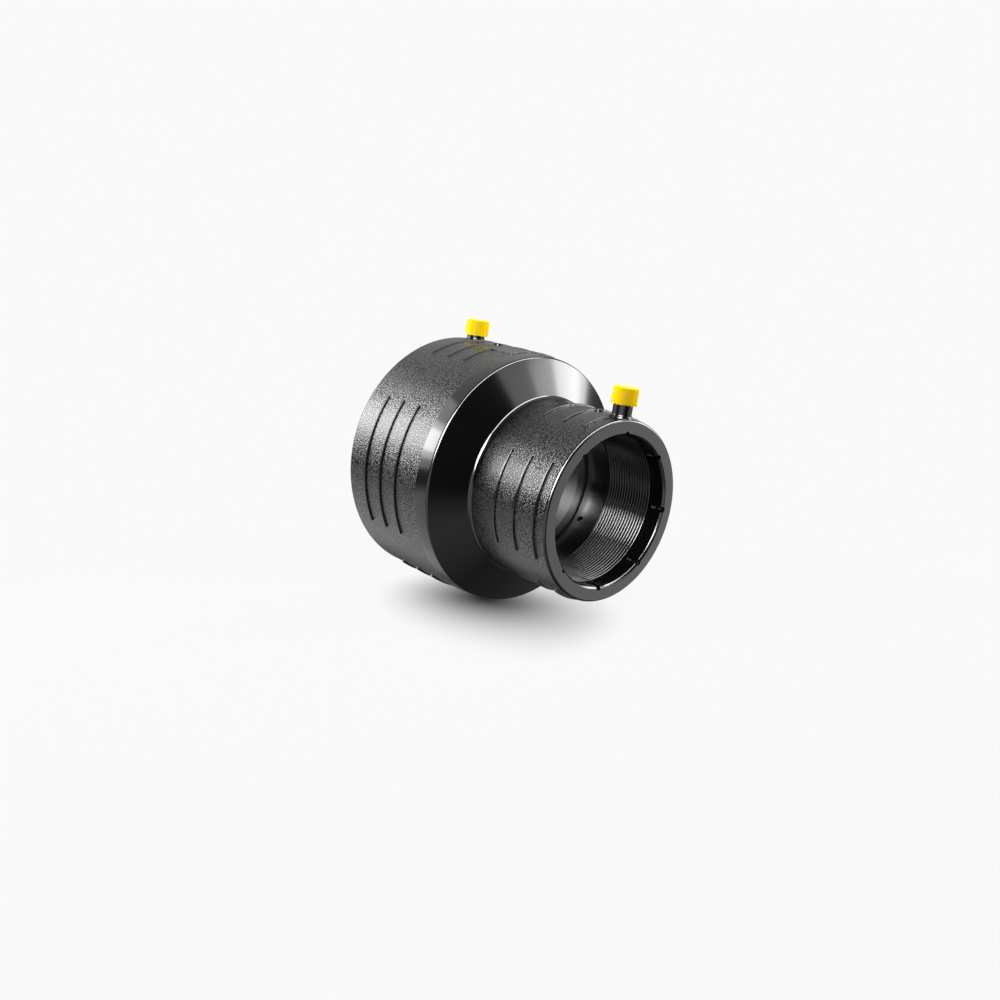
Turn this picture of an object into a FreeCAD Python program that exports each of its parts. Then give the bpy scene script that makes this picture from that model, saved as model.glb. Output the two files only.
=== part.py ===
import FreeCAD, Part
import Sketcher
import math
import os

# Electrofusion reducer for plastic pipe: a 160 mm socket, a cone and a 110 mm socket in one moulding.
# The part stands on its large mouth: +Z is the pipe axis, the terminal posts point to -X.

V = FreeCAD.Vector
doc = FreeCAD.newDocument("pipe_reducer")
sheet = doc.addObject("Spreadsheet::Sheet", "sizes")

# Driving sizes in mm and degrees
SIZES = {
    # Sockets
    "large_outer": 194.0,  # outside diameter of the large socket
    "large_bore": 161.0,  # bore of the large socket, for 160 mm pipe
    "large_insertion": 84.0,  # depth of the large socket up to its stop
    "small_outer": 134.6,  # outside diameter of the small socket
    "small_bore": 110.8,  # bore of the small socket, for 110 mm pipe
    "small_insertion": 79.4,  # depth of the small socket up to its stop
    "overall_length": 188.2,  # length from mouth to mouth
    "rim_width": 2.6,  # width of the bevel on the outer edge of each mouth
    "rim_depth": 1.8,  # depth of the bevel on the outer edge of each mouth
    "lead_in": 1.6,  # bevel on the inner edge of each mouth
    # Cone between the sockets
    "barrel_length": 84.6,  # length of the grained barrel of the large socket
    "band_length": 12.5,  # length of the smooth band before the cone
    "band_taper": 0.8,  # loss of radius along the smooth band
    "cone_length": 14.3,  # axial length of the cone
    "stop_width": 4.0,  # width of the shoulder that stops the large pipe
    "throat_bore": 107.4,  # passage between the two pipes at its narrowest
    "throat_length": 7.2,  # length of the narrowest part
    # Heating winding
    "winding_depth": 1.6,  # thickness of the wound layer in the wall
    "large_cold_end": 20.0,  # unheated length at the large mouth
    "large_heated": 45.0,  # heated length of the large socket
    "small_cold_end": 12.2,  # unheated length at the small mouth
    "small_heated": 43.5,  # heated length of the small socket
    "wire_coat": 1.6,  # diameter of the coated wire
    "link_angle": 61.0,  # direction of the wire between the two windings
    "link_cover": 1.2,  # wall between the linking wire and the bore
    "link_eye": 4.2,  # diameter of the eye where the linking wire shows
    "link_eye_inset": 7.2,  # distance of the eye from the small stop
    # Raised ribs round each barrel
    "rib_groups": 4,  # groups of ribs round the circumference
    "rib_angle": 60.0,  # arc of each rib
    "rib_height": 1.3,  # height of the ribs
    "rib_width": 4.4,  # width of a rib at its foot inside the wall
    "rib_root": 1.5,  # depth of the ribs' foot inside the wall
    "large_rib_first": 22.6,  # first rib from the large mouth
    "large_rib_pitch": 18.75,  # spacing of the ribs on the large socket
    "small_rib_first": 10.6,  # first rib from the small mouth
    "small_rib_pitch": 19.9,  # spacing of the ribs on the small socket
    # Bare pad for marking
    "pad_angle": 28.0,  # arc of the marking pad
    "pad_height": 0.9,  # height of the marking pad
    "pad_margin": 0.8,  # gap between the pad and the smooth band
    # Terminal posts
    "post_outer": 14.0,  # diameter of the posts
    "post_bore": 10.0,  # diameter of the cavity in the posts
    "post_cavity": 15.5,  # depth of the cavity in the posts
    "post_root": 9.0,  # depth of the posts' foot inside the wall
    "large_post_rise": 14.5,  # height of the large post over its barrel
    "small_post_rise": 19.3,  # height of the small post over its barrel
    "large_post_inset": 13.7,  # distance of the large post from its mouth
    "small_post_inset": 8.6,  # distance of the small post from its mouth
    # Contact pins
    "pin_diameter": 4.7,  # diameter of the contact pins
    "pin_sunk": 4.5,  # distance of the pin's tip under the rim of its post
    "pin_hold": 5.0,  # length of the pin held in the wall
    "pin_tail": 2.0,  # diameter of the pin's tail down to the wire
    # Dust caps
    "cap_outer": 18.6,  # diameter of the caps
    "cap_height": 12.2,  # height of the caps
    "cap_top": 1.6,  # thickness of the caps' end wall
    "cap_edge": 0.8,  # bevel on the caps' end
    "cap_play": 0.1,  # radial play of the caps on their posts
    # Fusion indicators
    "boss_outer": 7.0,  # diameter of the boss round each indicator
    "well_bore": 4.4,  # diameter of the indicator's well
    "well_floor": 4.4,  # wall left between the well and the wound layer
    "indicator_play": 0.3,  # radial play of the indicator in its well
    "indicator_sunk": 1.3,  # distance of the indicator's tip under its boss
    # Slots inside the mouths
    "slot_count": 8,  # slots round each mouth
    "slot_width": 4.4,  # width of the slots
    "slot_depth": 3.0,  # depth of the slots outside the bore
    "slot_gap": 1.5,  # distance from a slot's end to the winding
}

for row, (alias, number) in enumerate(SIZES.items(), 1):
    sheet.set("A%d" % row, alias.replace("_", " "))
    sheet.set("B%d" % row, str(number))
    sheet.setAlias("B%d" % row, alias)
doc.recompute()

# Places that follow from the sizes, from the large mouth at z = 0
LARGE_R = "sizes.large_outer / 2"
SMALL_R = "sizes.small_outer / 2"
LARGE_B = "sizes.large_bore / 2"
SMALL_B = "sizes.small_bore / 2"
LENGTH = "sizes.overall_length"
SHOULDER = "(sizes.barrel_length + sizes.band_length)"
CONE_END = "(%s + sizes.cone_length)" % SHOULDER
LARGE_WIND_END = "(sizes.large_cold_end + sizes.large_heated)"
SMALL_WIND_END = "(%s - sizes.small_cold_end)" % LENGTH
SMALL_WIND_START = "(%s - sizes.small_heated)" % SMALL_WIND_END
SMALL_STOP = "(%s - sizes.small_insertion)" % LENGTH
LARGE_STOP = "sizes.large_insertion"
LARGE_POST_Z = "sizes.large_post_inset"
SMALL_POST_Z = "(%s - sizes.small_post_inset)" % LENGTH
LARGE_POST_TOP = "(%s + sizes.large_post_rise)" % LARGE_R
SMALL_POST_TOP = "(%s + sizes.small_post_rise)" % SMALL_R
LARGE_EYE_Z = "(sizes.large_rib_first + sizes.large_rib_pitch)"
SMALL_EYE_Z = "(%s - sizes.small_rib_first - sizes.small_rib_pitch)" % LENGTH
PAD_START = "(sizes.large_rib_first + 2 * sizes.large_rib_pitch)"


def value(text):
    """The number that an expression on the sheet gives now."""
    return float(sheet.evalExpression(text))


def origin_part(body, role):
    return [o for o in body.Origin.OriginFeatures if o.Role == role][0]


def sketch_on(body, name, role, offset=None):
    sk = body.newObject("Sketcher::SketchObject", name)
    sk.AttachmentSupport = [(origin_part(body, role), "")]
    sk.MapMode = "FlatFace"
    if offset:
        sk.setExpression(".AttachmentOffset.Base.z", offset)
    return sk


def hold_point(sk, geometry, point, x, y):
    """Ties one point of a sketch to two expressions."""
    for kind, axis, text in (("DistanceX", -2, x), ("DistanceY", -1, y)):
        if text == "0":
            sk.addConstraint(Sketcher.Constraint("PointOnObject", geometry, point, axis))
        else:
            k = sk.addConstraint(Sketcher.Constraint(kind, -1, 1, geometry, point, value(text)))
            sk.setExpression("Constraints[%d]" % k, text)


def outline(sk, corners):
    """A closed outline of straight sides whose corners all follow the sheet."""
    first = sk.GeometryCount
    count = len(corners)
    points = [V(value(x), value(y), 0) for x, y in corners]
    for i in range(count):
        sk.addGeometry(Part.LineSegment(points[i], points[(i + 1) % count]), False)
    for i, (x, y) in enumerate(corners):
        sk.addConstraint(Sketcher.Constraint("Coincident", first + (i - 1) % count, 2, first + i, 1))
        hold_point(sk, first + i, 1, x, y)


def disc(sk, x, y, diameter):
    g = sk.addGeometry(Part.Circle(V(value(x), value(y), 0), V(0, 0, 1), value(diameter) / 2), False)
    hold_point(sk, g, 3, x, y)
    k = sk.addConstraint(Sketcher.Constraint("Diameter", g, value(diameter)))
    sk.setExpression("Constraints[%d]" % k, diameter)


def revolve(body, sk, name, angle=None):
    """Turns a sketch about the body's Z axis, whole or as an arc centred on the sketch."""
    rev = body.newObject("PartDesign::Revolution", name)
    rev.Profile = sk
    rev.ReferenceAxis = (sk, ["V_Axis"])
    if angle:
        rev.Midplane = True
        rev.setExpression("Angle", angle)
    else:
        rev.Angle = 360.0
    sk.Visibility = False
    doc.recompute()
    return rev


def swept(body, sk, name, length, kind="Pad", inward=False):
    """A pad or pocket of a sketch, with the direction given."""
    feature = body.newObject("PartDesign::" + kind, name)
    feature.Profile = sk
    feature.setExpression("Length", length)
    feature.Reversed = inward
    doc.recompute()
    return feature


def around(body, feature, name, count):
    pattern = body.newObject("PartDesign::PolarPattern", name)
    pattern.Originals = [feature]
    pattern.Axis = (origin_part(body, "Z_Axis"), [""])
    pattern.Angle = 360.0
    pattern.setExpression("Occurrences", count)
    body.Tip = pattern
    doc.recompute()
    return pattern


# The moulding

moulding = doc.addObject("PartDesign::Body", "moulding")

wall_sketch = sketch_on(moulding, "wall_section", "XZ_Plane")
outline(wall_sketch, [
    (LARGE_R + " - sizes.rim_width", "0"),
    (LARGE_R, "sizes.rim_depth"),
    (LARGE_R, "sizes.barrel_length"),
    (LARGE_R + " - sizes.band_taper", SHOULDER),
    (SMALL_R, CONE_END),
    (SMALL_R, LENGTH + " - sizes.rim_depth"),
    (SMALL_R + " - sizes.rim_width", LENGTH),
    (SMALL_B + " + sizes.lead_in", LENGTH),
    (SMALL_B, LENGTH + " - sizes.lead_in"),
    (SMALL_B, SMALL_STOP),
    ("sizes.throat_bore / 2", SMALL_STOP),
    ("sizes.throat_bore / 2", SMALL_STOP + " - sizes.throat_length"),
    (LARGE_B + " - sizes.stop_width", LARGE_STOP),
    (LARGE_B, LARGE_STOP),
    (LARGE_B, "sizes.lead_in"),
    (LARGE_B + " + sizes.lead_in", "0"),
])
revolve(moulding, wall_sketch, "wall")

# Three ribs on each socket, repeated in four groups
rib_sketch = sketch_on(moulding, "rib_sections", "XZ_Plane")
for k in range(3):
    places = (
        (LARGE_R, "(sizes.large_rib_first + %d * sizes.large_rib_pitch)" % k),
        (SMALL_R, "(%s - sizes.small_rib_first - %d * sizes.small_rib_pitch)" % (LENGTH, k)),
    )
    for radius, z in places:
        outline(rib_sketch, [
            (radius + " - sizes.rib_root", z + " - sizes.rib_width / 2"),
            (radius + " + sizes.rib_height", z),
            (radius + " - sizes.rib_root", z + " + sizes.rib_width / 2"),
        ])
ribs = revolve(moulding, rib_sketch, "rib_arcs", "sizes.rib_angle")
around(moulding, ribs, "rib_groups", "sizes.rib_groups")

# Bare marking pad on the large socket, in line with the posts
pad_sketch = sketch_on(moulding, "marking_pad_section", "XZ_Plane")
pad_end = "sizes.barrel_length - sizes.pad_margin"
outline(pad_sketch, [
    ("-(%s - sizes.rib_root)" % LARGE_R, PAD_START),
    ("-(%s + sizes.pad_height)" % LARGE_R, PAD_START),
    ("-(%s + sizes.pad_height)" % LARGE_R, pad_end),
    ("-(%s - sizes.rib_root)" % LARGE_R, pad_end),
])
revolve(moulding, pad_sketch, "marking_pad", "sizes.pad_angle")

# Posts and indicator bosses, then the cavities and wells in them


def well_depth(radius, bore):
    """Depth of an indicator's well under its boss, down to a fixed wall over the winding."""
    return "(%s + sizes.rib_height - %s - sizes.winding_depth - sizes.well_floor)" % (radius, bore)


for end, radius, bore, post_z, rise, eye_z in (
    ("large", LARGE_R, LARGE_B, LARGE_POST_Z, "sizes.large_post_rise", LARGE_EYE_Z),
    ("small", SMALL_R, SMALL_B, SMALL_POST_Z, "sizes.small_post_rise", SMALL_EYE_Z),
):
    post = sketch_on(moulding, end + "_post_circle", "YZ_Plane", "-(%s - sizes.post_root)" % radius)
    disc(post, "0", post_z, "sizes.post_outer")
    swept(moulding, post, end + "_post", "sizes.post_root + " + rise, inward=True)
    boss = sketch_on(moulding, end + "_boss_circle", "YZ_Plane", "-(%s - sizes.rib_root)" % radius)
    disc(boss, "0", eye_z, "sizes.boss_outer")
    swept(moulding, boss, end + "_boss", "sizes.rib_root + sizes.rib_height", inward=True)
    mouth = sketch_on(moulding, end + "_cavity_circle", "YZ_Plane", "-(%s + %s)" % (radius, rise))
    disc(mouth, "0", post_z, "sizes.post_bore")
    swept(moulding, mouth, end + "_post_cavity", "sizes.post_cavity", "Pocket", inward=True)
    well = sketch_on(moulding, end + "_well_circle", "YZ_Plane", "-(%s + sizes.rib_height)" % radius)
    disc(well, "0", eye_z, "sizes.well_bore")
    swept(moulding, well, end + "_indicator_well", well_depth(radius, bore), "Pocket", inward=True)

# Slots that run in from each mouth
for end, bore, level, cold, inward in (
    ("large", LARGE_B, None, "sizes.large_cold_end", True),
    ("small", SMALL_B, LENGTH, "sizes.small_cold_end", False),
):
    slot = sketch_on(moulding, end + "_slot_section", "XY_Plane", level)
    outline(slot, [
        (bore + " - sizes.slot_depth", "-sizes.slot_width / 2"),
        (bore + " + sizes.slot_depth", "-sizes.slot_width / 2"),
        (bore + " + sizes.slot_depth", "sizes.slot_width / 2"),
        (bore + " - sizes.slot_depth", "sizes.slot_width / 2"),
    ])
    cut = swept(moulding, slot, end + "_slot", cold + " - sizes.slot_gap", "Pocket", inward)
    around(moulding, cut, end + "_slots", "sizes.slot_count")


# Loose pieces, each drawn about its own Z axis and laid along -X at its seat

TO_POST = FreeCAD.Rotation(V(0, 1, 0), -90)


def turned(label, corners, radial, z):
    """A turned piece whose local origin sits at the given distance from the pipe axis."""
    body = doc.addObject("PartDesign::Body", label)
    sk = sketch_on(body, label + "_section", "XZ_Plane")
    outline(sk, corners)
    revolve(body, sk, label + "_turned")
    body.Label = label
    body.Placement = FreeCAD.Placement(V(0, 0, 0), TO_POST)
    body.setExpression(".Placement.Base.x", "-" + radial)
    body.setExpression(".Placement.Base.z", z)
    doc.recompute()
    return body


def terminal_pin(label, top, bore, z):
    tail_end = "-(%s - %s - sizes.winding_depth / 2)" % (top, bore)
    hold_end = "-(sizes.post_cavity + sizes.pin_hold)"
    return turned(label, [
        ("0", "-sizes.pin_sunk"),
        ("sizes.pin_diameter / 2", "-sizes.pin_sunk"),
        ("sizes.pin_diameter / 2", hold_end),
        ("sizes.pin_tail / 2", hold_end),
        ("sizes.pin_tail / 2", tail_end),
        ("0", tail_end),
    ], top, z)


def terminal_cap(label, top, z):
    skirt = "-(sizes.cap_height - sizes.cap_top)"
    inside = "sizes.post_outer / 2 + sizes.cap_play"
    return turned(label, [
        ("0", "0"),
        (inside, "0"),
        (inside, skirt),
        ("sizes.cap_outer / 2", skirt),
        ("sizes.cap_outer / 2", "sizes.cap_top - sizes.cap_edge"),
        ("sizes.cap_outer / 2 - sizes.cap_edge", "sizes.cap_top"),
        ("0", "sizes.cap_top"),
    ], top, z)


def fusion_indicator(label, radius, bore, z):
    stem = "sizes.well_bore / 2 - sizes.indicator_play"
    foot = "-" + well_depth(radius, bore)
    return turned(label, [
        ("0", foot),
        (stem, foot),
        (stem, "-sizes.indicator_sunk"),
        ("0", "-sizes.indicator_sunk"),
    ], "(%s + sizes.rib_height)" % radius, z)


pins = [
    terminal_pin("terminal_pin_large", LARGE_POST_TOP, LARGE_B, LARGE_POST_Z),
    terminal_pin("terminal_pin_small", SMALL_POST_TOP, SMALL_B, SMALL_POST_Z),
]
caps = [
    terminal_cap("terminal_cap_large", LARGE_POST_TOP, LARGE_POST_Z),
    terminal_cap("terminal_cap_small", SMALL_POST_TOP, SMALL_POST_Z),
]
indicators = [
    fusion_indicator("fusion_indicator_large", LARGE_R, LARGE_B, LARGE_EYE_Z),
    fusion_indicator("fusion_indicator_small", SMALL_R, SMALL_B, SMALL_EYE_Z),
]

# The heating winding: a wound layer in each bore, the wire between them and a lead to each pin

sleeve_body = doc.addObject("PartDesign::Body", "wound_layers")
sleeve_sketch = sketch_on(sleeve_body, "wound_sections", "XZ_Plane")
for bore, start, end in (
    (LARGE_B, "sizes.large_cold_end", LARGE_WIND_END),
    (SMALL_B, SMALL_WIND_START, SMALL_WIND_END),
):
    outline(sleeve_sketch, [
        (bore, start),
        (bore + " + sizes.winding_depth", start),
        (bore + " + sizes.winding_depth", end),
        (bore, end),
    ])


def wire_run(points):
    """The coated wire along a path."""
    path = Part.Wire(Part.makePolygon(points))
    ring = Part.Circle(points[0], points[1] - points[0], value("sizes.wire_coat") / 2)
    return path.makePipeShell([Part.Wire(ring.toShape())], True, False, 1)


def at(angle, radius, z):
    a = math.radians(angle)
    return V(radius * math.cos(a), radius * math.sin(a), z)


def layer(bore, start, end):
    outer = Part.makeCylinder(bore + value("sizes.winding_depth"), end - start, V(0, 0, start))
    return outer.cut(Part.makeCylinder(bore, end - start, V(0, 0, start)))


bore_l, bore_s = value(LARGE_B), value(SMALL_B)
deep = value("sizes.link_cover") + value("sizes.wire_coat") / 2
layer_mid = value("sizes.winding_depth")
angle = value("sizes.link_angle")
stop_s, stop_l = value(SMALL_STOP), value(LARGE_STOP)
throat_z = value(SMALL_STOP + " - sizes.throat_length")
wind_l, wind_s = value(LARGE_WIND_END), value(SMALL_WIND_START)
bend = value("sizes.wire_coat") * 2

link = wire_run([
    at(angle, bore_s + layer_mid, wind_s + bend),
    at(angle, bore_s + layer_mid, throat_z),
    at(angle, bore_l + layer_mid, stop_l + bend),
    at(angle, bore_l + layer_mid, wind_l - bend),
])
lead_l = wire_run([
    at(180, bore_l + layer_mid, value("sizes.large_cold_end") + bend),
    at(180, bore_l + layer_mid, value(LARGE_POST_Z)),
])
lead_s = wire_run([
    at(180, bore_s + layer_mid, value(SMALL_WIND_END) - bend),
    at(180, bore_s + layer_mid, value(SMALL_POST_Z)),
])
pin_shapes = [pin.Shape for pin in pins]
wound = layer(bore_l, value("sizes.large_cold_end"), wind_l)
wound = wound.fuse([layer(bore_s, wind_s, value(SMALL_WIND_END)), link, lead_l, lead_s])
wound = wound.cut(pin_shapes).removeSplitter()

winding = doc.addObject("Part::Feature", "heating_winding")
winding.Label = "heating_winding"
winding.Shape = wound
winding.Placement = FreeCAD.Placement()

# The moulding is formed round the wire and the pins, with an eye where the linking wire shows

eye_z = stop_s + value("sizes.link_eye_inset")
eye = Part.makeCylinder(
    value("sizes.link_eye") / 2, deep, at(angle, bore_s - deep + layer_mid, eye_z), at(angle, 1, 0)
)
doc.recompute()
formed = moulding.Shape.cut([wound, eye] + pin_shapes).removeSplitter()
body = doc.addObject("Part::Feature", "body")
body.Label = "body"
body.Shape = formed
body.Placement = FreeCAD.Placement()
doc.recompute()

# Check and write

for obj in doc.Objects:
    if "Invalid" in obj.State or "Error" in obj.State:
        raise RuntimeError("%s is not sound: %s" % (obj.Name, obj.State))
    shape = getattr(obj, "Shape", None)
    if shape is not None and obj.TypeId != "App::Plane" and shape.isNull() is False:
        if not shape.isValid():
            raise RuntimeError("%s has a bad shape" % obj.Name)

os.makedirs("parts", exist_ok=True)
for piece in [body, winding] + pins + caps + indicators:
    shape = piece.Shape
    if shape.isNull() or not shape.isValid() or len(shape.Solids) != 1:
        raise RuntimeError("%s is not one solid" % piece.Label)
    shape.exportStep("parts/%s.step" % piece.Label)
    box = shape.BoundBox
    print(piece.Label, round(shape.Volume, 1), [round(c, 2) for c in (
        box.XMin, box.XMax, box.YMin, box.YMax, box.ZMin, box.ZMax)])
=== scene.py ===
# %% [markdown]
# # A black electrofusion reducer in Blender
#
# This fitting joins a wide plastic pipe to a narrower one. It is a single black moulding with a
# resistance wire wound into the wall of each socket, and two posts whose yellow caps keep the
# contact pins clean. The CAD model holds every piece at its real size, with plain bevels and with
# smooth wound layers. So this lesson models the moulding, the caps and the turns of wire again
# inside the same outline, keeps the pins and the indicators, gives each piece its finish, and sets
# up a plain studio.

# %% Load the CAD frame
import bpy
import math
from mathutils import Matrix, Vector


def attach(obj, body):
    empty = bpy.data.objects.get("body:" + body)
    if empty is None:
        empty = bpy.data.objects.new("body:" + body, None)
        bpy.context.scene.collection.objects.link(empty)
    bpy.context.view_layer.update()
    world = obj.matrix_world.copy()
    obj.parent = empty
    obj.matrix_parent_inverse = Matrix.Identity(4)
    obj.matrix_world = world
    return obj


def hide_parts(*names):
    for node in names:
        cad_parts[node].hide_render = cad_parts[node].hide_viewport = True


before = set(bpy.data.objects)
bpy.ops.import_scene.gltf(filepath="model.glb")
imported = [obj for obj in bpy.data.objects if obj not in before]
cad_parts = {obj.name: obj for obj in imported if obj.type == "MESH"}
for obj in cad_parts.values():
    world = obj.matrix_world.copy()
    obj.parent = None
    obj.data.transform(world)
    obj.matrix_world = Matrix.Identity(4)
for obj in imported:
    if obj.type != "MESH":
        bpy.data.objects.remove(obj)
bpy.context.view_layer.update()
print("CAD nodes:", sorted(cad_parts))

# %% [markdown]
# ## Camera
#
# The part stands on its large mouth, so its axis is the world's Z. In the photograph it lies on its
# side with its posts upward. The CAD model stays as it stands, so the camera is rolled instead. Its
# place and its three directions come from a fit to the outline, and become the columns of a matrix:
# aiming the camera at a target would leave the roll open.

# %% Camera at the photograph's view
EYE = Vector((-0.14183, -0.5442, 0.64045))
RIGHT = Vector((-0.15724, 0.73545, 0.65908))
DOWN = Vector((0.96639, -0.02285, 0.25606))
FORWARD = Vector((0.20338, 0.67719, -0.70714))

bpy.ops.object.camera_add()
camera = bpy.context.object
camera.name = "camera"
camera.data.lens = 36.515
camera.data.sensor_width = 36.0
camera.data.clip_start = 0.01
turn = Matrix((RIGHT, -DOWN, -FORWARD)).transposed().to_4x4()
camera.matrix_world = Matrix.Translation(EYE) @ turn
bpy.context.scene.camera = camera
print("camera height over the large mouth: %.3f m" % camera.location.z)

# %% [markdown]
# ## Sizes
#
# Lengths that several pieces share are named once, in metres. They are the CAD model's own.

# %% Lengths of the part
MM = 0.001
LENGTH = 188.2 * MM
LARGE_R, LARGE_BORE, LARGE_STOP = 97.0 * MM, 80.5 * MM, 84.0 * MM
SMALL_R, SMALL_BORE, SMALL_STOP = 67.3 * MM, 55.4 * MM, 108.8 * MM
BARREL_END, BAND_END, CONE_END = 84.6 * MM, 97.1 * MM, 111.4 * MM
THROAT_R, THROAT_END = 53.7 * MM, 101.6 * MM
LARGE_WOUND = (20.0 * MM, 65.0 * MM)
SMALL_WOUND = (132.5 * MM, 176.0 * MM)
LARGE_POST_Z, LARGE_POST_TOP = 13.7 * MM, LARGE_R + 14.5 * MM
SMALL_POST_Z, SMALL_POST_TOP = 179.6 * MM, SMALL_R + 19.3 * MM
LARGE_RIBS = [z * MM for z in (22.6, 41.35, 60.1)]
SMALL_RIBS = [z * MM for z in (137.8, 157.7, 177.6)]
print("sockets %.0f and %.0f mm across" % (2000 * LARGE_R, 2000 * SMALL_R))

# %% [markdown]
# ## Materials
#
# Each finish is a small network of nodes. An image could be wrapped round the pieces instead, but
# a network stays sharp from near and needs no file. All of them read Object coordinates, so that a
# pattern stays where it is on the piece. Four helpers keep the networks short to write.

# %% Helpers for materials
def new_finish(name, roughness, colour):
    """A material with one Principled shader, and the node tree to build on."""
    finish = bpy.data.materials.new(name)
    finish.use_nodes = True
    shader = finish.node_tree.nodes["Principled BSDF"]
    shader.inputs["Roughness"].default_value = roughness
    shader.inputs["Base Color"].default_value = (*colour, 1)
    return finish, finish.node_tree, shader


def add(tree, kind, **settings):
    """A node with its properties set."""
    node = tree.nodes.new(kind)
    for key, value in settings.items():
        setattr(node, key, value)
    return node


def combine(tree, operation, *values, clamp=False):
    """The result of a math node on plain numbers and other nodes' outputs."""
    node = add(tree, "ShaderNodeMath", operation=operation, use_clamp=clamp)
    for value, socket in zip(values, node.inputs):
        if isinstance(value, bpy.types.NodeSocket):
            tree.links.new(value, socket)
        else:
            socket.default_value = value
    return node.outputs[0]


def ramp(tree, value, start, end, low=0.0, high=1.0, kind="LINEAR"):
    """Goes from low to high while the value goes from start to end."""
    node = add(tree, "ShaderNodeMapRange", interpolation_type=kind)
    limits = {"From Min": start, "From Max": end, "To Min": low, "To Max": high}
    for label, number in limits.items():
        node.inputs[label].default_value = number
    tree.links.new(value, node.inputs["Value"])
    return node.outputs[0]


print("node helpers:", [f.__name__ for f in (new_finish, add, combine, ramp)])

# %% [markdown]
# ### Black polyethylene
#
# The barrels come from an eroded mould, so they have a fine grain that breaks up the light. The
# band and the cone between them are polished. Modelled pebbles would be far too many, and two
# materials would meet in a hard line. So one material does both: the height along the axis and the
# distance from it decide where the grain is, and the cells of a Voronoi texture are its pebbles.

# %% Where the grain is, and how it looks
EDGE_SOFT = 0.6 * MM
FOOT_END, FOOT_SOFT = 115.0 * MM, 2.0 * MM
RIM_START, RIM_SOFT = 186.6 * MM, 0.8 * MM
INSIDE_WALL = 2.5 * MM
LARGE_SKIN, SMALL_SKIN = 0.6 * MM, 0.8 * MM
GRAIN_SCALE, GRAIN_DEPTH = 900.0, 0.10 * MM
PEBBLE_RIM, PEBBLE_CROWN = 0.65, 0.15
POLISHED_ROUGH, GRAINED_ROUGH, DEEP_ROUGH = 0.14, 0.22, 0.16
# Share of the shine taken away deep inside, as painted shade in the bore
DEEP_PAINTED_SHADE = -0.5
SHINE_LEVELS = (0.5, 0.28, 1.22)
COLOUR_LEVELS = (0.002, 0.002, 0.008)
print("pebbles about %.1f mm apart" % (1 / (GRAIN_SCALE * MM)))


# %% Black moulding
def black_moulding():
    finish, tree, shader = new_finish("moulding", 0.4, (0.0035, 0.0035, 0.0037))
    link = tree.links.new
    place = add(tree, "ShaderNodeTexCoord").outputs["Object"]
    split = add(tree, "ShaderNodeSeparateXYZ")
    link(place, split.inputs[0])
    height = split.outputs["Z"]
    flat = add(tree, "ShaderNodeVectorMath", operation="MULTIPLY")
    flat.inputs[1].default_value = (1, 1, 0)
    link(place, flat.inputs[0])
    radius = add(tree, "ShaderNodeVectorMath", operation="LENGTH")
    link(flat.outputs[0], radius.inputs[0])

    def above(level, soft):
        """Goes from zero to one as the height passes a level."""
        return ramp(tree, height, level - soft, level + soft)

    def beyond(large, small):
        """One where the distance from the axis is past a limit for each barrel."""
        limit = ramp(tree, height, BAND_END, CONE_END, large, small)
        return combine(tree, "GREATER_THAN", radius.outputs["Value"], limit)

    # The band, the cone and the rim of the small mouth are polished
    past_foot = above(FOOT_END, FOOT_SOFT)
    cone = combine(tree, "SUBTRACT", above(BARREL_END, EDGE_SOFT), past_foot)
    smooth = combine(tree, "ADD", cone, above(RIM_START, RIM_SOFT))
    dull = combine(tree, "SUBTRACT", 1.0, smooth, clamp=True)

    # The bores and the posts are polished too: only the skin of each barrel is grained
    in_wall = beyond(LARGE_BORE + INSIDE_WALL, SMALL_BORE + INSIDE_WALL)
    over_skin = beyond(LARGE_R + LARGE_SKIN, SMALL_R + SMALL_SKIN)
    grained = combine(tree, "MULTIPLY", dull, combine(tree, "SUBTRACT", in_wall, over_skin))

    cells = add(tree, "ShaderNodeTexVoronoi")
    cells.inputs["Scale"].default_value = GRAIN_SCALE
    link(place, cells.inputs["Vector"])
    pebble = ramp(tree, cells.outputs["Distance"], PEBBLE_RIM, PEBBLE_CROWN, kind="SMOOTHSTEP")
    bump = add(tree, "ShaderNodeBump")
    bump.inputs["Distance"].default_value = GRAIN_DEPTH
    link(grained, bump.inputs["Strength"])
    link(pebble, bump.inputs["Height"])
    link(bump.outputs[0], shader.inputs["Normal"])

    # The throat and the large bore, deep inside, are rougher than the other polished parts
    deep = combine(tree, "SUBTRACT", 1.0, combine(tree, "MAXIMUM", past_foot, in_wall))
    gloss = ramp(tree, grained, 0.0, 1.0, POLISHED_ROUGH, GRAINED_ROUGH)
    link(combine(tree, "MULTIPLY_ADD", deep, DEEP_ROUGH, gloss), shader.inputs["Roughness"])

    def varied(even, pit, crown):
        """A level that is even where polished, and goes from pit to crown where grained."""
        speckle = ramp(tree, pebble, 0.0, 1.0, pit - even, crown - even)
        return combine(tree, "MULTIPLY_ADD", speckle, grained, even)

    # The pits between the pebbles mirror less than their crowns, which shows as a fine speckle
    # Deep inside, the shine is halved: painted shade in the throat and the large bore
    painted_deep_shade = combine(tree, "MULTIPLY_ADD", deep, DEEP_PAINTED_SHADE, 1.0)
    shine = combine(tree, "MULTIPLY", varied(*SHINE_LEVELS), painted_deep_shade)
    link(shine, shader.inputs["Specular IOR Level"])
    link(varied(*COLOUR_LEVELS), shader.inputs["Base Color"])
    return finish


moulding = black_moulding()
print("moulding has", len(moulding.node_tree.nodes), "nodes")

# %% [markdown]
# ### Caps, pins, indicators, ribs and wire
#
# The other surfaces are plain plastic or tin. A single roughness would look like a drawing, so a
# soft noise varies each gloss a little. The caps are a dull yellow, the ribs and the posts are the
# moulding's black without its grain, and the coated wire is the glossiest of all.

# %% The other finishes
CLOUD_SCALE = 260.0


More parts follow.
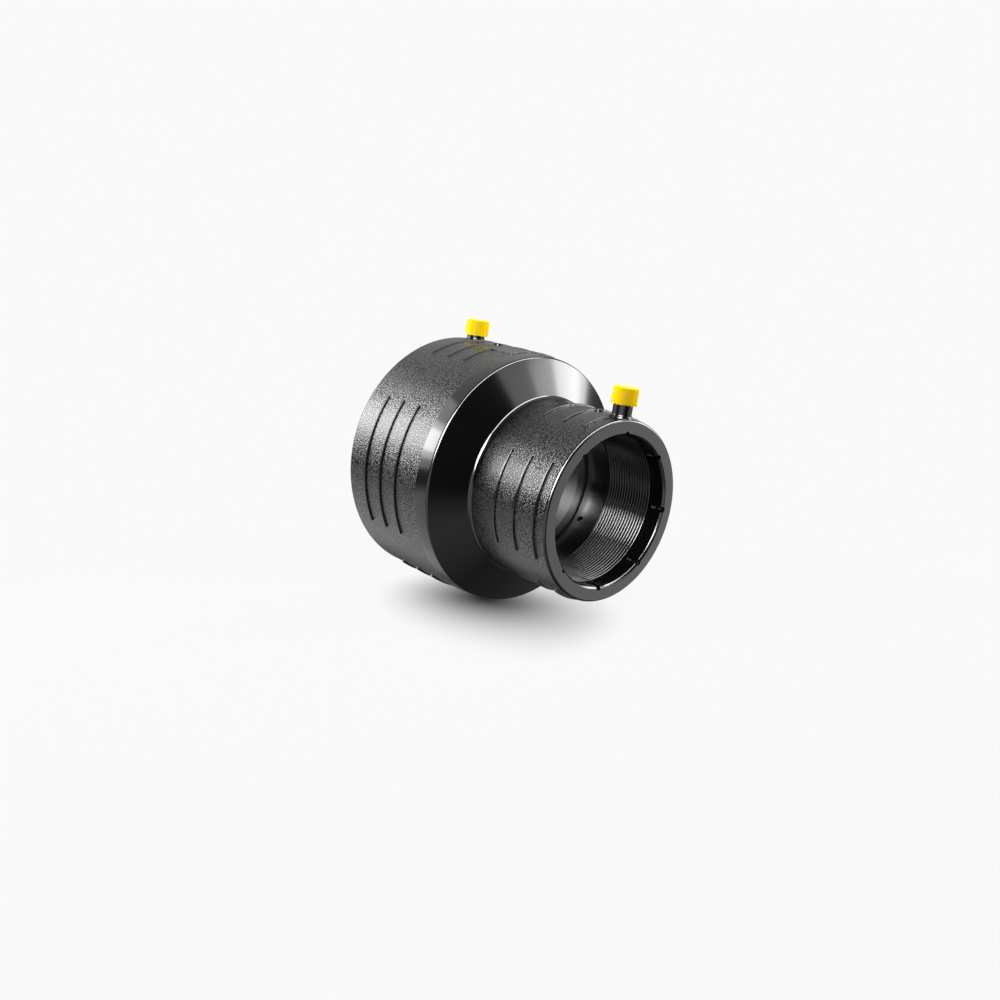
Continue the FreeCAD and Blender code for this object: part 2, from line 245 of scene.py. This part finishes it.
def smooth_finish(name, roughness, colour, metallic=0.0, mottle=0.04, shine=0.5):
    """A moulded or plated finish with a faint unevenness in its gloss."""
    finish, tree, shader = new_finish(name, roughness, colour)
    shader.inputs["Metallic"].default_value = metallic
    shader.inputs["Specular IOR Level"].default_value = shine
    place = add(tree, "ShaderNodeTexCoord")
    cloud = add(tree, "ShaderNodeTexNoise")
    cloud.inputs["Scale"].default_value = CLOUD_SCALE
    tree.links.new(place.outputs["Object"], cloud.inputs["Vector"])
    gloss = ramp(tree, cloud.outputs["Fac"], 0.0, 1.0, roughness - mottle, roughness + mottle)
    tree.links.new(gloss, shader.inputs["Roughness"])
    return finish


cap_yellow = smooth_finish("cap_yellow", 0.42, (0.86, 0.58, 0.0), shine=0.03)
tinned = smooth_finish("tinned_pin", 0.3, (0.75, 0.72, 0.68), metallic=1.0)
indicator_black = smooth_finish("indicator_black", 0.45, (0.014, 0.014, 0.015))
polished = smooth_finish("polished_black", 0.20, (0.002, 0.002, 0.0022), mottle=0.02, shine=0.28)
wire_black = smooth_finish("wire_black", 0.07, (0.004, 0.004, 0.0043), mottle=0.015)
for kind, finish in (
    ("terminal_cap", cap_yellow),
    ("terminal_pin", tinned),
    ("fusion_indicator", indicator_black),
):
    for end in ("large", "small"):
        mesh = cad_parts["%s_%s" % (kind, end)].data
        mesh.materials.clear()
        mesh.materials.append(finish)
print("finishes:", [m.name for m in bpy.data.materials])

# %% [markdown]
# ## Moulding
#
# The black moulding is one piece. Its wall is a turned shape, which a Screw modifier could make
# from a section. Here a circle is drawn at one corner of the section instead, and each extrusion
# carries it to the next corner, up the outside and down inside. That gives clean rings of faces, so
# that each corner's ring can be picked by its place and bevelled to a real fillet.

# %% Helpers for modelling
NEAR = 0.02 * MM
MERGE = 0.000001


def select_only(*pieces):
    """Object mode with only these pieces selected, and the first of them active."""
    if bpy.context.object and bpy.context.object.mode != "OBJECT":
        bpy.ops.object.mode_set(mode="OBJECT")
    bpy.ops.object.select_all(action="DESELECT")
    for piece in pieces:
        piece.select_set(True)
    if pieces:
        bpy.context.view_layer.objects.active = pieces[0]


def edit(piece, kind="EDGE"):
    """Edit mode on one piece, with nothing selected."""
    select_only(piece)
    bpy.ops.object.mode_set(mode="EDIT")
    bpy.ops.mesh.select_mode(type=kind)
    bpy.ops.mesh.select_all(action="DESELECT")


def pick_points(piece, wanted):
    """Selects the points that a test picks by their place, and the edges between them."""
    bpy.ops.object.mode_set(mode="OBJECT")
    for point in piece.data.vertices:
        point.select = wanted(point.co)
    for edge in piece.data.edges:
        edge.select = all(piece.data.vertices[i].select for i in edge.vertices)
    bpy.ops.object.mode_set(mode="EDIT")


def round_edges(piece, wanted, reach, steps):
    """Bevels the edges between the points that a test picks."""
    edit(piece)
    pick_points(piece, wanted)
    bpy.ops.mesh.bevel(offset=reach, segments=steps, affect="EDGES", profile=0.5)
    bpy.ops.object.mode_set(mode="OBJECT")


def close_and_turn_out(piece):
    """Merges doubles and turns every face outward."""
    edit(piece, "VERT")
    bpy.ops.mesh.select_all(action="SELECT")
    bpy.ops.mesh.remove_doubles(threshold=MERGE)
    bpy.ops.mesh.normals_make_consistent(inside=False)
    bpy.ops.object.mode_set(mode="OBJECT")


print("points within %.2f mm of a corner belong to it" % (NEAR / MM))


# %% Helpers for turned and finished pieces
def extrude_ring(step, grow, centre):
    """Carries the selected ring one step further, and scales it there."""
    bpy.ops.mesh.extrude_region_move(TRANSFORM_OT_translate={"value": step})
    bpy.ops.transform.resize(value=grow, center_override=centre)


def turned_piece(name, corners, segments):
    """A closed shape turned about the Z axis through the given (radius, height) corners."""
    select_only()
    radius, height = corners[0]
    bpy.ops.mesh.primitive_circle_add(vertices=segments, radius=radius, location=(0, 0, height))
    piece = bpy.context.object
    piece.name = name
    bpy.ops.object.transform_apply(location=True, rotation=True, scale=True)
    edit(piece)
    bpy.ops.mesh.select_all(action="SELECT")
    for next_radius, next_height in corners[1:] + corners[:1]:
        grow = next_radius / radius
        extrude_ring((0, 0, next_height - height), (grow, grow, 1), (0, 0, next_height))
        radius, height = next_radius, next_height
    close_and_turn_out(piece)
    return piece


def finish_piece(piece, finish, slot, angle=35.0):
    """Smooth shading with crisp flats, a finish and a body. The slot is not used."""
    select_only(piece)
    bpy.ops.object.transform_apply(location=True, rotation=True, scale=True)
    bpy.ops.object.shade_smooth_by_angle(angle=math.radians(angle))
    flats = piece.modifiers.new("flats", "WEIGHTED_NORMAL")
    flats.keep_sharp = True
    bpy.ops.object.modifier_apply(modifier=flats.name)
    piece.data.materials.clear()
    piece.data.materials.append(finish)
    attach(piece, "root")
    print(piece.name, len(piece.data.polygons), "faces")


print("piece helpers:", [f.__name__ for f in (extrude_ring, turned_piece, finish_piece)])

# %% [markdown]
# ### Wall
#
# The section runs up the outside, over the rim of the small mouth and down through both bores. Each
# bore has a shallow groove where the wire lies. A boolean could cut the grooves, but as corners of
# the same section they cost nothing.

# %% Turned wall
RING_STEPS = 192
DRAFT = 0.4 * MM
COIL_SUNK = 0.6 * MM
LEAD_IN = 1.6 * MM
BAND_R, FOOT_R, MOUTH_R = LARGE_R - 0.8 * MM, SMALL_R + DRAFT, SMALL_R - DRAFT
LARGE_RIM, SMALL_RIM = LARGE_BORE + LEAD_IN, SMALL_BORE + LEAD_IN
LARGE_GROOVE, SMALL_GROOVE = LARGE_BORE + COIL_SUNK, SMALL_BORE + COIL_SUNK
LARGE_STOP_R = 76.5 * MM
STOP_SLOPE = 0.3 * MM
wall = turned_piece("moulded_wall", [
    (LARGE_R, 0),
    (LARGE_R, BARREL_END),
    (BAND_R, BAND_END),
    (FOOT_R, CONE_END),
    (MOUTH_R, LENGTH),
    (SMALL_RIM, LENGTH),
    (SMALL_BORE, LENGTH - LEAD_IN),
    (SMALL_BORE, SMALL_WOUND[1]),
    (SMALL_GROOVE, SMALL_WOUND[1]),
    (SMALL_GROOVE, SMALL_WOUND[0]),
    (SMALL_BORE, SMALL_WOUND[0]),
    (SMALL_BORE, SMALL_STOP + STOP_SLOPE),
    (THROAT_R, SMALL_STOP - STOP_SLOPE),
    (THROAT_R, THROAT_END),
    (LARGE_STOP_R, LARGE_STOP),
    (LARGE_BORE, LARGE_STOP),
    (LARGE_BORE, LARGE_WOUND[1]),
    (LARGE_GROOVE, LARGE_WOUND[1]),
    (LARGE_GROOVE, LARGE_WOUND[0]),
    (LARGE_BORE, LARGE_WOUND[0]),
    (LARGE_BORE, LEAD_IN),
    (LARGE_RIM, 0),
], RING_STEPS)
print("wall before its fillets:", len(wall.data.polygons), "faces")


# %% Fillets on the wall
def round_ring(radius, height, reach, steps):
    """Rounds the wall's ring edge at one corner of its section."""
    round_edges(wall, lambda co: abs(math.hypot(co.x, co.y) - radius) < NEAR
                and abs(co.z - height) < NEAR, reach, steps)


# Radius and height of the corner, reach of the fillet, and its steps
for corner in (
    (LARGE_R, 0, 2.2 * MM, 5),
    (BAND_R, BAND_END, 1.2 * MM, 4),
    (FOOT_R, CONE_END, 2.0 * MM, 5),
    (MOUTH_R, LENGTH, 2.2 * MM, 6),
    (SMALL_RIM, LENGTH, 0.4 * MM, 2),
    (SMALL_BORE, LENGTH - LEAD_IN, 0.5 * MM, 2),
    (LARGE_RIM, 0, 0.4 * MM, 2),
    (THROAT_R, SMALL_STOP - STOP_SLOPE, 0.8 * MM, 3),
    (LARGE_STOP_R, LARGE_STOP, 0.6 * MM, 2),
):
    round_ring(*corner)
print("wall with its fillets:", len(wall.data.polygons), "faces")

# %% [markdown]
# ### Slots, wells and the eye
#
# Round slots run in from both mouths, which the mould's cores left. The linking wire shows in an
# eye over the throat, and the posts and indicators need room in the wall. Holes could be modelled
# face by face, but rods as cutters are quick to place. They are joined and taken away from the wall
# in one exact boolean.

# %% Helpers for cutting
def rod(radius, start, end, segments=24):
    """A straight cutter between two points."""
    select_only()
    start, end = Vector(start), Vector(end)
    bpy.ops.mesh.primitive_cylinder_add(
        vertices=segments, radius=radius, depth=(end - start).length, location=(start + end) / 2,
        rotation=(end - start).to_track_quat("Z", "Y").to_euler())
    bpy.ops.object.transform_apply(location=True, rotation=True, scale=True)
    return bpy.context.object


def joined(name, pieces):
    """All the pieces as one, which keeps the place of the first."""
    select_only(*pieces)
    bpy.ops.object.join()
    pieces[0].name = name
    return pieces[0]


def cut_away(piece, cutter):
    """Takes the cutter's volume away from the piece."""
    select_only(piece)
    cut = piece.modifiers.new("cut", "BOOLEAN")
    cut.operation = "DIFFERENCE"
    cut.solver = "EXACT"
    cut.object = cutter
    bpy.ops.object.modifier_apply(modifier=cut.name)
    bpy.data.objects.remove(cutter)


print("cutting helpers:", [f.__name__ for f in (rod, joined, cut_away)])

# %% Cuts in the wall
SLOTS, SLOT_R, SLOT_OUT, SLOT_GAP = 8, 2.2 * MM, 0.8 * MM, 1.5 * MM
PAST_MOUTH = 1.0 * MM
EYE_ANGLE, EYE_Z, EYE_R = math.radians(61.0), 116.0 * MM, 2.5 * MM
EYE_FROM, EYE_TO = 54 * MM, 60 * MM
POST_BORE, POST_CAVITY, POST_STEPS = 5.0 * MM, 15.5 * MM, 48
PIN_HOLE, PIN_START = 2.4 * MM, 10 * MM
WELL_BORE, WELL_START = 2.2 * MM, 3 * MM

cutters = []
for i in range(SLOTS):
    a = i * math.tau / SLOTS
    for bore, start, end in (
        (SMALL_BORE, SMALL_WOUND[1] + SLOT_GAP, LENGTH + PAST_MOUTH),
        (LARGE_BORE, -PAST_MOUTH, LARGE_WOUND[0] - SLOT_GAP),
    ):
        x, y = (bore + SLOT_OUT) * math.cos(a), (bore + SLOT_OUT) * math.sin(a)
        cutters.append(rod(SLOT_R, (x, y, start), (x, y, end)))
eye_x, eye_y = math.cos(EYE_ANGLE), math.sin(EYE_ANGLE)
cutters.append(rod(
    EYE_R, (EYE_FROM * eye_x, EYE_FROM * eye_y, EYE_Z), (EYE_TO * eye_x, EYE_TO * eye_y, EYE_Z)))
for top, z, pin_end in (
    (LARGE_POST_TOP, LARGE_POST_Z, 81.3 * MM),
    (SMALL_POST_TOP, SMALL_POST_Z, 56.2 * MM),
):
    cutters.append(rod(POST_BORE, (-top, 0, z), (-(top - POST_CAVITY), 0, z), POST_STEPS))
    cutters.append(rod(PIN_HOLE, (-(top - PIN_START), 0, z), (-pin_end, 0, z)))
for radius, z, bottom in (
    (LARGE_R, LARGE_RIBS[1], 86.5 * MM),
    (SMALL_R, SMALL_RIBS[1], 61.4 * MM),
):
    cutters.append(rod(WELL_BORE, (-(radius + WELL_START), 0, z), (-bottom, 0, z)))
print(len(cutters), "cutters")
cut_away(wall, joined("cutters", cutters))
finish_piece(wall, moulding, "moulding")

# %% [markdown]
# ### Ribs and marking pad
#
# Twelve short ribs grip each barrel, three to a group. An array round an empty could repeat them,
# but plain copies need no helper object. One rib is a small section, tapered and softened at its
# crest, then spun through sixty degrees. The others are copies of it. The bare marking pad is a
# wider bar, made the same way.

# %% Spun bars
CREST_NEAR = 0.01 * MM
SPUN_ROUND_STEPS = 3


def spun_bar(name, foot, crest, low, high, crest_share, edge, middle, angle, steps):
    """A bar whose section, from foot to crest radius, is spun round the axis."""
    select_only()
    centre = (low + high) / 2
    bpy.ops.mesh.primitive_plane_add(
        size=1, rotation=(math.pi / 2, 0, 0), location=((foot + crest) / 2, 0, centre))
    bar = bpy.context.object
    bar.name = name
    bar.scale = (crest - foot, high - low, 1)
    bpy.ops.object.transform_apply(location=True, rotation=True, scale=True)
    edit(bar, "VERT")
    pick_points(bar, lambda co: co.x > crest - CREST_NEAR)
    bpy.ops.transform.resize(value=(1, 1, crest_share), center_override=(crest, 0, centre))
    bpy.ops.mesh.bevel(offset=edge, segments=SPUN_ROUND_STEPS, affect="VERTICES")
    bpy.ops.mesh.select_all(action="SELECT")
    bpy.ops.transform.rotate(
        value=-(middle + angle / 2), orient_axis="Z", center_override=(0, 0, 0))
    bpy.ops.mesh.spin(steps=steps, angle=angle, axis=(0, 0, 1), center=(0, 0, 0))
    close_and_turn_out(bar)
    return bar


print("crests are rounded in", SPUN_ROUND_STEPS, "steps")

# %% Ribs and pad
RIB_ROOT, RIB_RISE, RIB_HALF, RIB_ROUND = 1.2 * MM, 1.3 * MM, 1.4 * MM, 0.3 * MM
RIB_CREST_SHARE, RIB_ANGLE, RIB_STEPS, RIB_GROUPS = 0.45, math.radians(60), 32, 4
PAD_ROOT, PAD_RISE, PAD_MARGIN, PAD_ROUND = 1.5 * MM, 0.9 * MM, 0.8 * MM, 0.25 * MM
PAD_CREST_SHARE, PAD_ANGLE, PAD_STEPS = 0.97, math.radians(28), 24


def ribs(name, radius, heights):
    """Four groups of ribs round a barrel, as one piece."""
    first = spun_bar(
        name, radius - RIB_ROOT, radius + RIB_RISE, heights[0] - RIB_HALF, heights[0] + RIB_HALF,
        RIB_CREST_SHARE, RIB_ROUND, 0, RIB_ANGLE, RIB_STEPS)
    turns = [math.degrees(math.atan2(v.co.y, v.co.x)) for v in first.data.vertices]
    print(name, "first rib from %.0f to %.0f degrees" % (min(turns), max(turns)))
    copies = [first]
    for height in heights:
        for group in range(RIB_GROUPS):
            if height == heights[0] and group == 0:
                continue
            rib = first.copy()
            rib.data = first.data.copy()
            bpy.context.collection.objects.link(rib)
            rib.data.transform(
                Matrix.Translation((0, 0, height - heights[0]))
                @ Matrix.Rotation(group * math.tau / RIB_GROUPS, 4, "Z"))
            copies.append(rib)
    return joined(name, copies)


large_ribs = ribs("large_socket_ribs", LARGE_R, LARGE_RIBS)
small_ribs = ribs("small_socket_ribs", SMALL_R, SMALL_RIBS)
pad = spun_bar(
    "marking_pad", LARGE_R - PAD_ROOT, LARGE_R + PAD_RISE, LARGE_RIBS[2], BARREL_END - PAD_MARGIN,
    PAD_CREST_SHARE, PAD_ROUND, math.pi, PAD_ANGLE, PAD_STEPS)
for piece, finish in ((large_ribs, polished), (small_ribs, moulding), (pad, moulding)):
    finish_piece(piece, finish, "moulding")

# %% [markdown]
# ### Posts and bosses
#
# Each terminal sits in a hollow post with a flared foot. Each fusion indicator, a small plug that
# rises when the joint has melted, sits in a low boss on the middle rib. A cylinder would have no
# flare, so these are turned like the wall, by extruding a ring, here along -X.

# %% Hollow studs
STUD_ROUND, STUD_ROUND_STEPS = 0.4 * MM, 3


def stud(name, z, outer, inner_r, floor, steps=64):
    """A hollow stud along -X through the given (radius, distance from the axis) corners."""
    select_only()
    radius, out = outer[0]
    bpy.ops.mesh.primitive_circle_add(
        vertices=steps, radius=radius, location=(-out, 0, z), rotation=(0, -math.pi / 2, 0))
    piece = bpy.context.object
    piece.name = name
    bpy.ops.object.transform_apply(location=True, rotation=True, scale=True)
    edit(piece)
    bpy.ops.mesh.select_all(action="SELECT")
    rim_r, rim = outer[-1]
    for next_radius, next_out in outer[1:] + [(inner_r, rim), (inner_r, floor)] + outer[:1]:
        grow = next_radius / radius
        extrude_ring((out - next_out, 0, 0), (1, grow, grow), (-next_out, 0, z))
        radius, out = next_radius, next_out
    close_and_turn_out(piece)
    round_edges(piece, lambda co: abs(co.x + rim) < NEAR
                and abs(math.hypot(co.y, co.z - z) - rim_r) < NEAR, STUD_ROUND, STUD_ROUND_STEPS)
    return piece


print("rims of studs are rounded by %.1f mm" % (STUD_ROUND / MM))

# %% Posts and bosses
# Radius, and distance from the barrel's surface, of each corner in mm
POST_FOOT = ((8.4, -2.5), (7.9, -0.2), (7.25, 0.7), (7.0, 1.8))
BOSS_SIDE = ((3.7, -1.5), (3.5, 1.3))
POST_R = 7.0 * MM
BOSS_FLOOR, BOSS_STEPS = 1.5 * MM, 40

for name, radius, z, top in (
    ("large_terminal_post", LARGE_R, LARGE_POST_Z, LARGE_POST_TOP),
    ("small_terminal_post", SMALL_R, SMALL_POST_Z, SMALL_POST_TOP),
):
    side = [(r * MM, radius + rise * MM) for r, rise in POST_FOOT] + [(POST_R, top)]
    finish_piece(stud(name, z, side, POST_BORE, top - POST_CAVITY), polished, "moulding")
for name, radius, z in (
    ("large_indicator_boss", LARGE_R, LARGE_RIBS[1]),
    ("small_indicator_boss", SMALL_R, SMALL_RIBS[1]),
):
    side = [(r * MM, radius + rise * MM) for r, rise in BOSS_SIDE]
    boss = stud(name, z, side, WELL_BORE, radius - BOSS_FLOOR, BOSS_STEPS)
    finish_piece(boss, polished, "moulding")
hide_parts("body")

# %% [markdown]
# ## Dust caps
#
# Soft yellow caps slide over the posts. Their top edge is round and their side has a little draft.
# The CAD model's caps have a plain bevel, which a Bevel modifier could soften, but its loose
# triangles bevel badly. So a cap is turned like a post. The post hides what is inside it, and its
# mesh closes there in a plain cone.

# %% Caps
CAP_TOP, CAP_HEIGHT = 1.6 * MM, 12.2 * MM
CAP_R, CAP_BAND = 9.3 * MM, 1.0 * MM
CAP_PINHOLE = 0.02 * MM
# Radius, and distance under the crown, of the corners at the top in mm
CAP_SHOULDER = ((9.1, 0.9), (8.75, 0.25), (8.1, 0.0))

for end, z, top in (
    ("large", LARGE_POST_Z, LARGE_POST_TOP),
    ("small", SMALL_POST_Z, SMALL_POST_TOP),
):
    crown = top + CAP_TOP
    skirt = crown - CAP_HEIGHT
    side = [(CAP_R, skirt), (CAP_R, skirt + CAP_BAND)]
    side += [(r * MM, crown - drop * MM) for r, drop in CAP_SHOULDER]
    cap = stud("dust_cap_" + end, z, side, CAP_PINHOLE, crown)
    finish_piece(cap, cap_yellow, "cap")
    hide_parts("terminal_cap_" + end)

# %% [markdown]
# ## Heating winding
#
# One coated wire lies turn beside turn in the wall of each socket, sunk until only its ridges show.
# A bump on a smooth layer could draw the lines, but not their gleam from every side. So a round
# section is set at the bore and a Screw modifier carries it up the axis.

# %% Turns of wire in both sockets
WIRE, TURNS = 1.8 * MM, 16
WIRE_SIDES, TURN_STEPS = 12, 96
WIRE_SMOOTH_ANGLE = 60.0


def wound_coil(name, bore, start, end):
    """A round wire screwed up the axis, its inner side level with the bore."""
    select_only()
    pitch = (end - start - WIRE) / TURNS
    bpy.ops.mesh.primitive_circle_add(
        vertices=WIRE_SIDES, radius=WIRE / 2, location=(bore + WIRE / 2, 0, start + WIRE / 2),
        rotation=(math.pi / 2, 0, 0))
    coil = bpy.context.object
    coil.name = name
    bpy.ops.object.transform_apply(location=True, rotation=True, scale=True)
    screw = coil.modifiers.new("turns", "SCREW")
    screw.axis = "Z"
    screw.screw_offset = pitch
    screw.iterations = TURNS
    screw.steps = screw.render_steps = TURN_STEPS
    screw.use_merge_vertices = False
    bpy.ops.object.modifier_apply(modifier=screw.name)
    edit(coil)
    bpy.ops.mesh.select_non_manifold()
    bpy.ops.mesh.fill_holes(sides=0)
    close_and_turn_out(coil)
    print(name, "pitch %.2f mm" % (pitch / MM))
    finish_piece(coil, wire_black, "wire", WIRE_SMOOTH_ANGLE)
    return coil


wound_coil("large_winding", LARGE_BORE, *LARGE_WOUND)
small_coil = wound_coil("small_winding", SMALL_BORE, *SMALL_WOUND)
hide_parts("heating_winding")

# %% [markdown]
# ## Studio
#
# The CAD model stands on its large mouth, but the photograph shows the part lying on its side on
# a white table. So the pale floor of this scene is laid where that table was, touching the mouth
# and the shoulder. A lamp's own shadow would be hard to keep as soft and pale as the photograph's.
# So the floor glows evenly where the camera looks at it, and the glow dies away under the part in
# the oval shape of the soft shadow. Seen from behind, the floor is clear.

# %% Floor along the side of the part
TABLE_DOWN = Vector((0.961, 0.0, 0.276))
TABLE_LEVEL = 119.9 * MM
FLOOR_SIZE, FLOOR_ROUGH = 1.2, 0.9
FLOOR_WHITE, FLOOR_GLOW = 0.01, 0.925
SHADOW_CENTRE = (0.0, 0.004, 0.070)
SHADOW_AXES = ((0, 4.56, 0), (0, 7.78, 6.52))
SHADOW_END, END_FROM, END_TO = (0, 0.6, 1.0), 0.118, 0.20
SHADOW_DARKEST, SHADOW_EDGE = -0.06, 1.0


def pale_floor():
    """White, with a glow for the camera that fades towards the middle of the shadow."""
    finish, tree, shader = new_finish("floor_white", FLOOR_ROUGH, (FLOOR_WHITE,) * 3)
    link = tree.links.new
    shader.inputs["Specular IOR Level"].default_value = 0.0
    place = add(tree, "ShaderNodeTexCoord")
    offset = add(tree, "ShaderNodeVectorMath", operation="SUBTRACT")
    offset.inputs[1].default_value = SHADOW_CENTRE
    link(place.outputs["Object"], offset.inputs[0])

    def along(way):
        """Distance from the middle of the shadow, measured along one way."""
        lean = add(tree, "ShaderNodeVectorMath", operation="DOT_PRODUCT")
        lean.inputs[1].default_value = way
        link(offset.outputs[0], lean.inputs[0])
        return lean.outputs["Value"]

    oval = add(tree, "ShaderNodeCombineXYZ")
    link(along(SHADOW_AXES[0]), oval.inputs["X"])
    link(along(SHADOW_AXES[1]), oval.inputs["Y"])
    link(ramp(tree, along(SHADOW_END), END_FROM, END_TO), oval.inputs["Z"])
    reach = add(tree, "ShaderNodeVectorMath", operation="LENGTH")
    link(oval.outputs[0], reach.inputs[0])
    glow = ramp(
        tree, reach.outputs["Value"], SHADOW_DARKEST, SHADOW_EDGE, 0.0, FLOOR_GLOW, "SMOOTHSTEP")
    seen = add(tree, "ShaderNodeLightPath").outputs["Is Camera Ray"]
    shader.inputs["Emission Color"].default_value = (1, 1, 1, 1)
    link(combine(tree, "MULTIPLY", seen, glow), shader.inputs["Emission Strength"])

    side = add(tree, "ShaderNodeNewGeometry")
    clear = add(tree, "ShaderNodeBsdfTransparent")
    mix = add(tree, "ShaderNodeMixShader")
    link(side.outputs["Backfacing"], mix.inputs["Fac"])
    link(shader.outputs[0], mix.inputs[1])
    link(clear.outputs[0], mix.inputs[2])
    link(mix.outputs[0], tree.nodes["Material Output"].inputs["Surface"])
    return finish


select_only()
bpy.ops.mesh.primitive_plane_add(
    size=FLOOR_SIZE, location=TABLE_DOWN * TABLE_LEVEL,
    rotation=(-TABLE_DOWN).to_track_quat("Z", "Y").to_euler())
floor = bpy.context.object
floor.name = "floor"
bpy.ops.object.transform_apply(location=True, rotation=True, scale=True)
floor.data.materials.append(pale_floor())
floor.visible_shadow = False
floor.visible_glossy = False
print("floor leans %.0f degrees" % math.degrees(TABLE_DOWN.angle((0, 0, -1))))

# %% [markdown]
# ### Lamps
#
# Black gloss shows hardly anything but reflections, so the lamps stand where the photograph's
# reflections fall. On each side a small bright box lies inside a wider veil and a still wider glow,
# which together fade outward as those reflections do. The key box and the far box are only
# mirrored: they draw the bright lines on the turns of wire and along the rounded edges. The front
# fill and the top box only light, for the yellow of the caps. One big lamp would be simpler, but
# it would leave no shape in the gloss. Each place is an angle to the right of the view and a
# height over the table, both seen from the middle of the part.

# %% Lamps
MIDDLE = Vector((0, 0, LENGTH / 2))
SIDEWAYS = TABLE_DOWN.cross(FORWARD)


def toward(azimuth, height):
    """A direction from its angle to the right of the view and its height over the table."""
    azimuth, height = math.radians(azimuth), math.radians(height)
    level = FORWARD * math.cos(azimuth) + SIDEWAYS * math.sin(azimuth)
    return level * math.cos(height) - TABLE_DOWN * math.sin(height)


def soft_lamp(name, azimuth, height, distance, width, tall, radiance, mirrored=True, lights=True):
    """A soft box that shines with the given radiance, whatever its size."""
    back = toward(azimuth, height)
    place = MIDDLE + back * distance
    bpy.ops.object.light_add(type="AREA", location=place)
    lamp = bpy.context.object
    lamp.name = name
    lamp.data.shape = "RECTANGLE"
    lamp.data.size = width
    lamp.data.size_y = tall
    lamp.data.energy = radiance * math.pi * width * tall
    upward = (-TABLE_DOWN - back * back.dot(-TABLE_DOWN)).normalized()
    turn = Matrix((upward.cross(back), upward, back)).transposed().to_4x4()
    lamp.matrix_world = Matrix.Translation(place) @ turn
    lamp.visible_camera = False
    lamp.visible_glossy = mirrored
    lamp.visible_diffuse = lights
    print(name, "%.1f W" % lamp.data.energy)


# Azimuth and height in degrees, distance, width and height of the lamp in metres, radiance
soft_lamp("left_box", -86, 26, 1.0, 0.42, 0.25, 9.5)
soft_lamp("left_veil", -87, 26, 1.0, 0.66, 0.42, 5.0)
soft_lamp("left_glow", -84, 30, 1.1, 1.0, 0.90, 2.2)
soft_lamp("right_box", 73, 18, 1.0, 0.40, 0.36, 7.0)
soft_lamp("right_veil", 84, 17, 1.0, 0.62, 0.40, 3.5)
soft_lamp("right_glow", 95, 17, 1.1, 1.05, 0.44, 2.2)
soft_lamp("key_box", -172, 15, 1.2, 0.80, 0.70, 45.0, lights=False)
soft_lamp("far_box", 132, 47, 1.2, 1.7, 0.36, 24.0, lights=False)
soft_lamp("front_fill", 180, 54, 1.2, 0.8, 0.8, 8.2, mirrored=False)
soft_lamp("top_box", 0, 68, 1.0, 1.2, 1.0, 2.4, mirrored=False)

# %% [markdown]
# ### Room
#
# The world stands for what the gloss mirrors between the lamps: a pale wall behind the part, and
# the white table top on the left, near the camera and on the right. A picture of a room would do
# this too, but a few soft patches of light are easier to place. The camera itself sees plain white.

# %% World
BACKDROP = 0.95


def dim_room():
    world = bpy.data.worlds.new("room")
    bpy.context.scene.world = world
    world.use_nodes = True
    tree = world.node_tree
    sky = tree.nodes["Background"]
    place = add(tree, "ShaderNodeTexCoord")

    def facing(way, start, end, low, high):
        """A level that rises from low to high as a ray turns towards one way."""
        lean = add(tree, "ShaderNodeVectorMath", operation="DOT_PRODUCT")
        lean.inputs[1].default_value = way
        tree.links.new(place.outputs["Generated"], lean.inputs[0])
        return ramp(tree, lean.outputs["Value"], start, end, low, high, "SMOOTHSTEP")

    wall_up = facing(-TABLE_DOWN, 0.1, 0.85, 0.15, 0.88)
    wall_ahead = facing(FORWARD, -0.5, 0.1, 0.1, 1.0)
    under_left = facing(TABLE_DOWN, 0.0, 0.15, 0, 1)
    left = facing(-SIDEWAYS, 0.2, 0.62, 0, 1.2)
    under_near = facing(TABLE_DOWN, 0.45, 0.75, 0, 1)
    near = facing(-FORWARD, -0.36, 0.6, 0, 0.5)
    room = combine(tree, "MULTIPLY", wall_up, wall_ahead)
    for patch in (
        combine(tree, "MULTIPLY", under_left, left),
        combine(tree, "MULTIPLY", under_near, near),
        facing(toward(84, -22), 0.80, 0.97, 0, 1.7),
        facing(toward(-170, -25), 0.84, 0.96, 0, 1.4),
    ):
        room = combine(tree, "MAXIMUM", room, patch)
    seen = add(tree, "ShaderNodeLightPath").outputs["Is Camera Ray"]
    room = combine(tree, "MAXIMUM", room, combine(tree, "MULTIPLY", seen, BACKDROP))
    tree.links.new(room, sky.inputs["Strength"])
    sky.inputs["Color"].default_value = (1, 1, 1, 1)
    print("the room has", len(tree.nodes), "nodes")


dim_room()
bpy.context.scene.view_settings.view_transform = "Standard"

# %% [markdown]
# ## Finish
#

# %% Clear the selection
select_only()
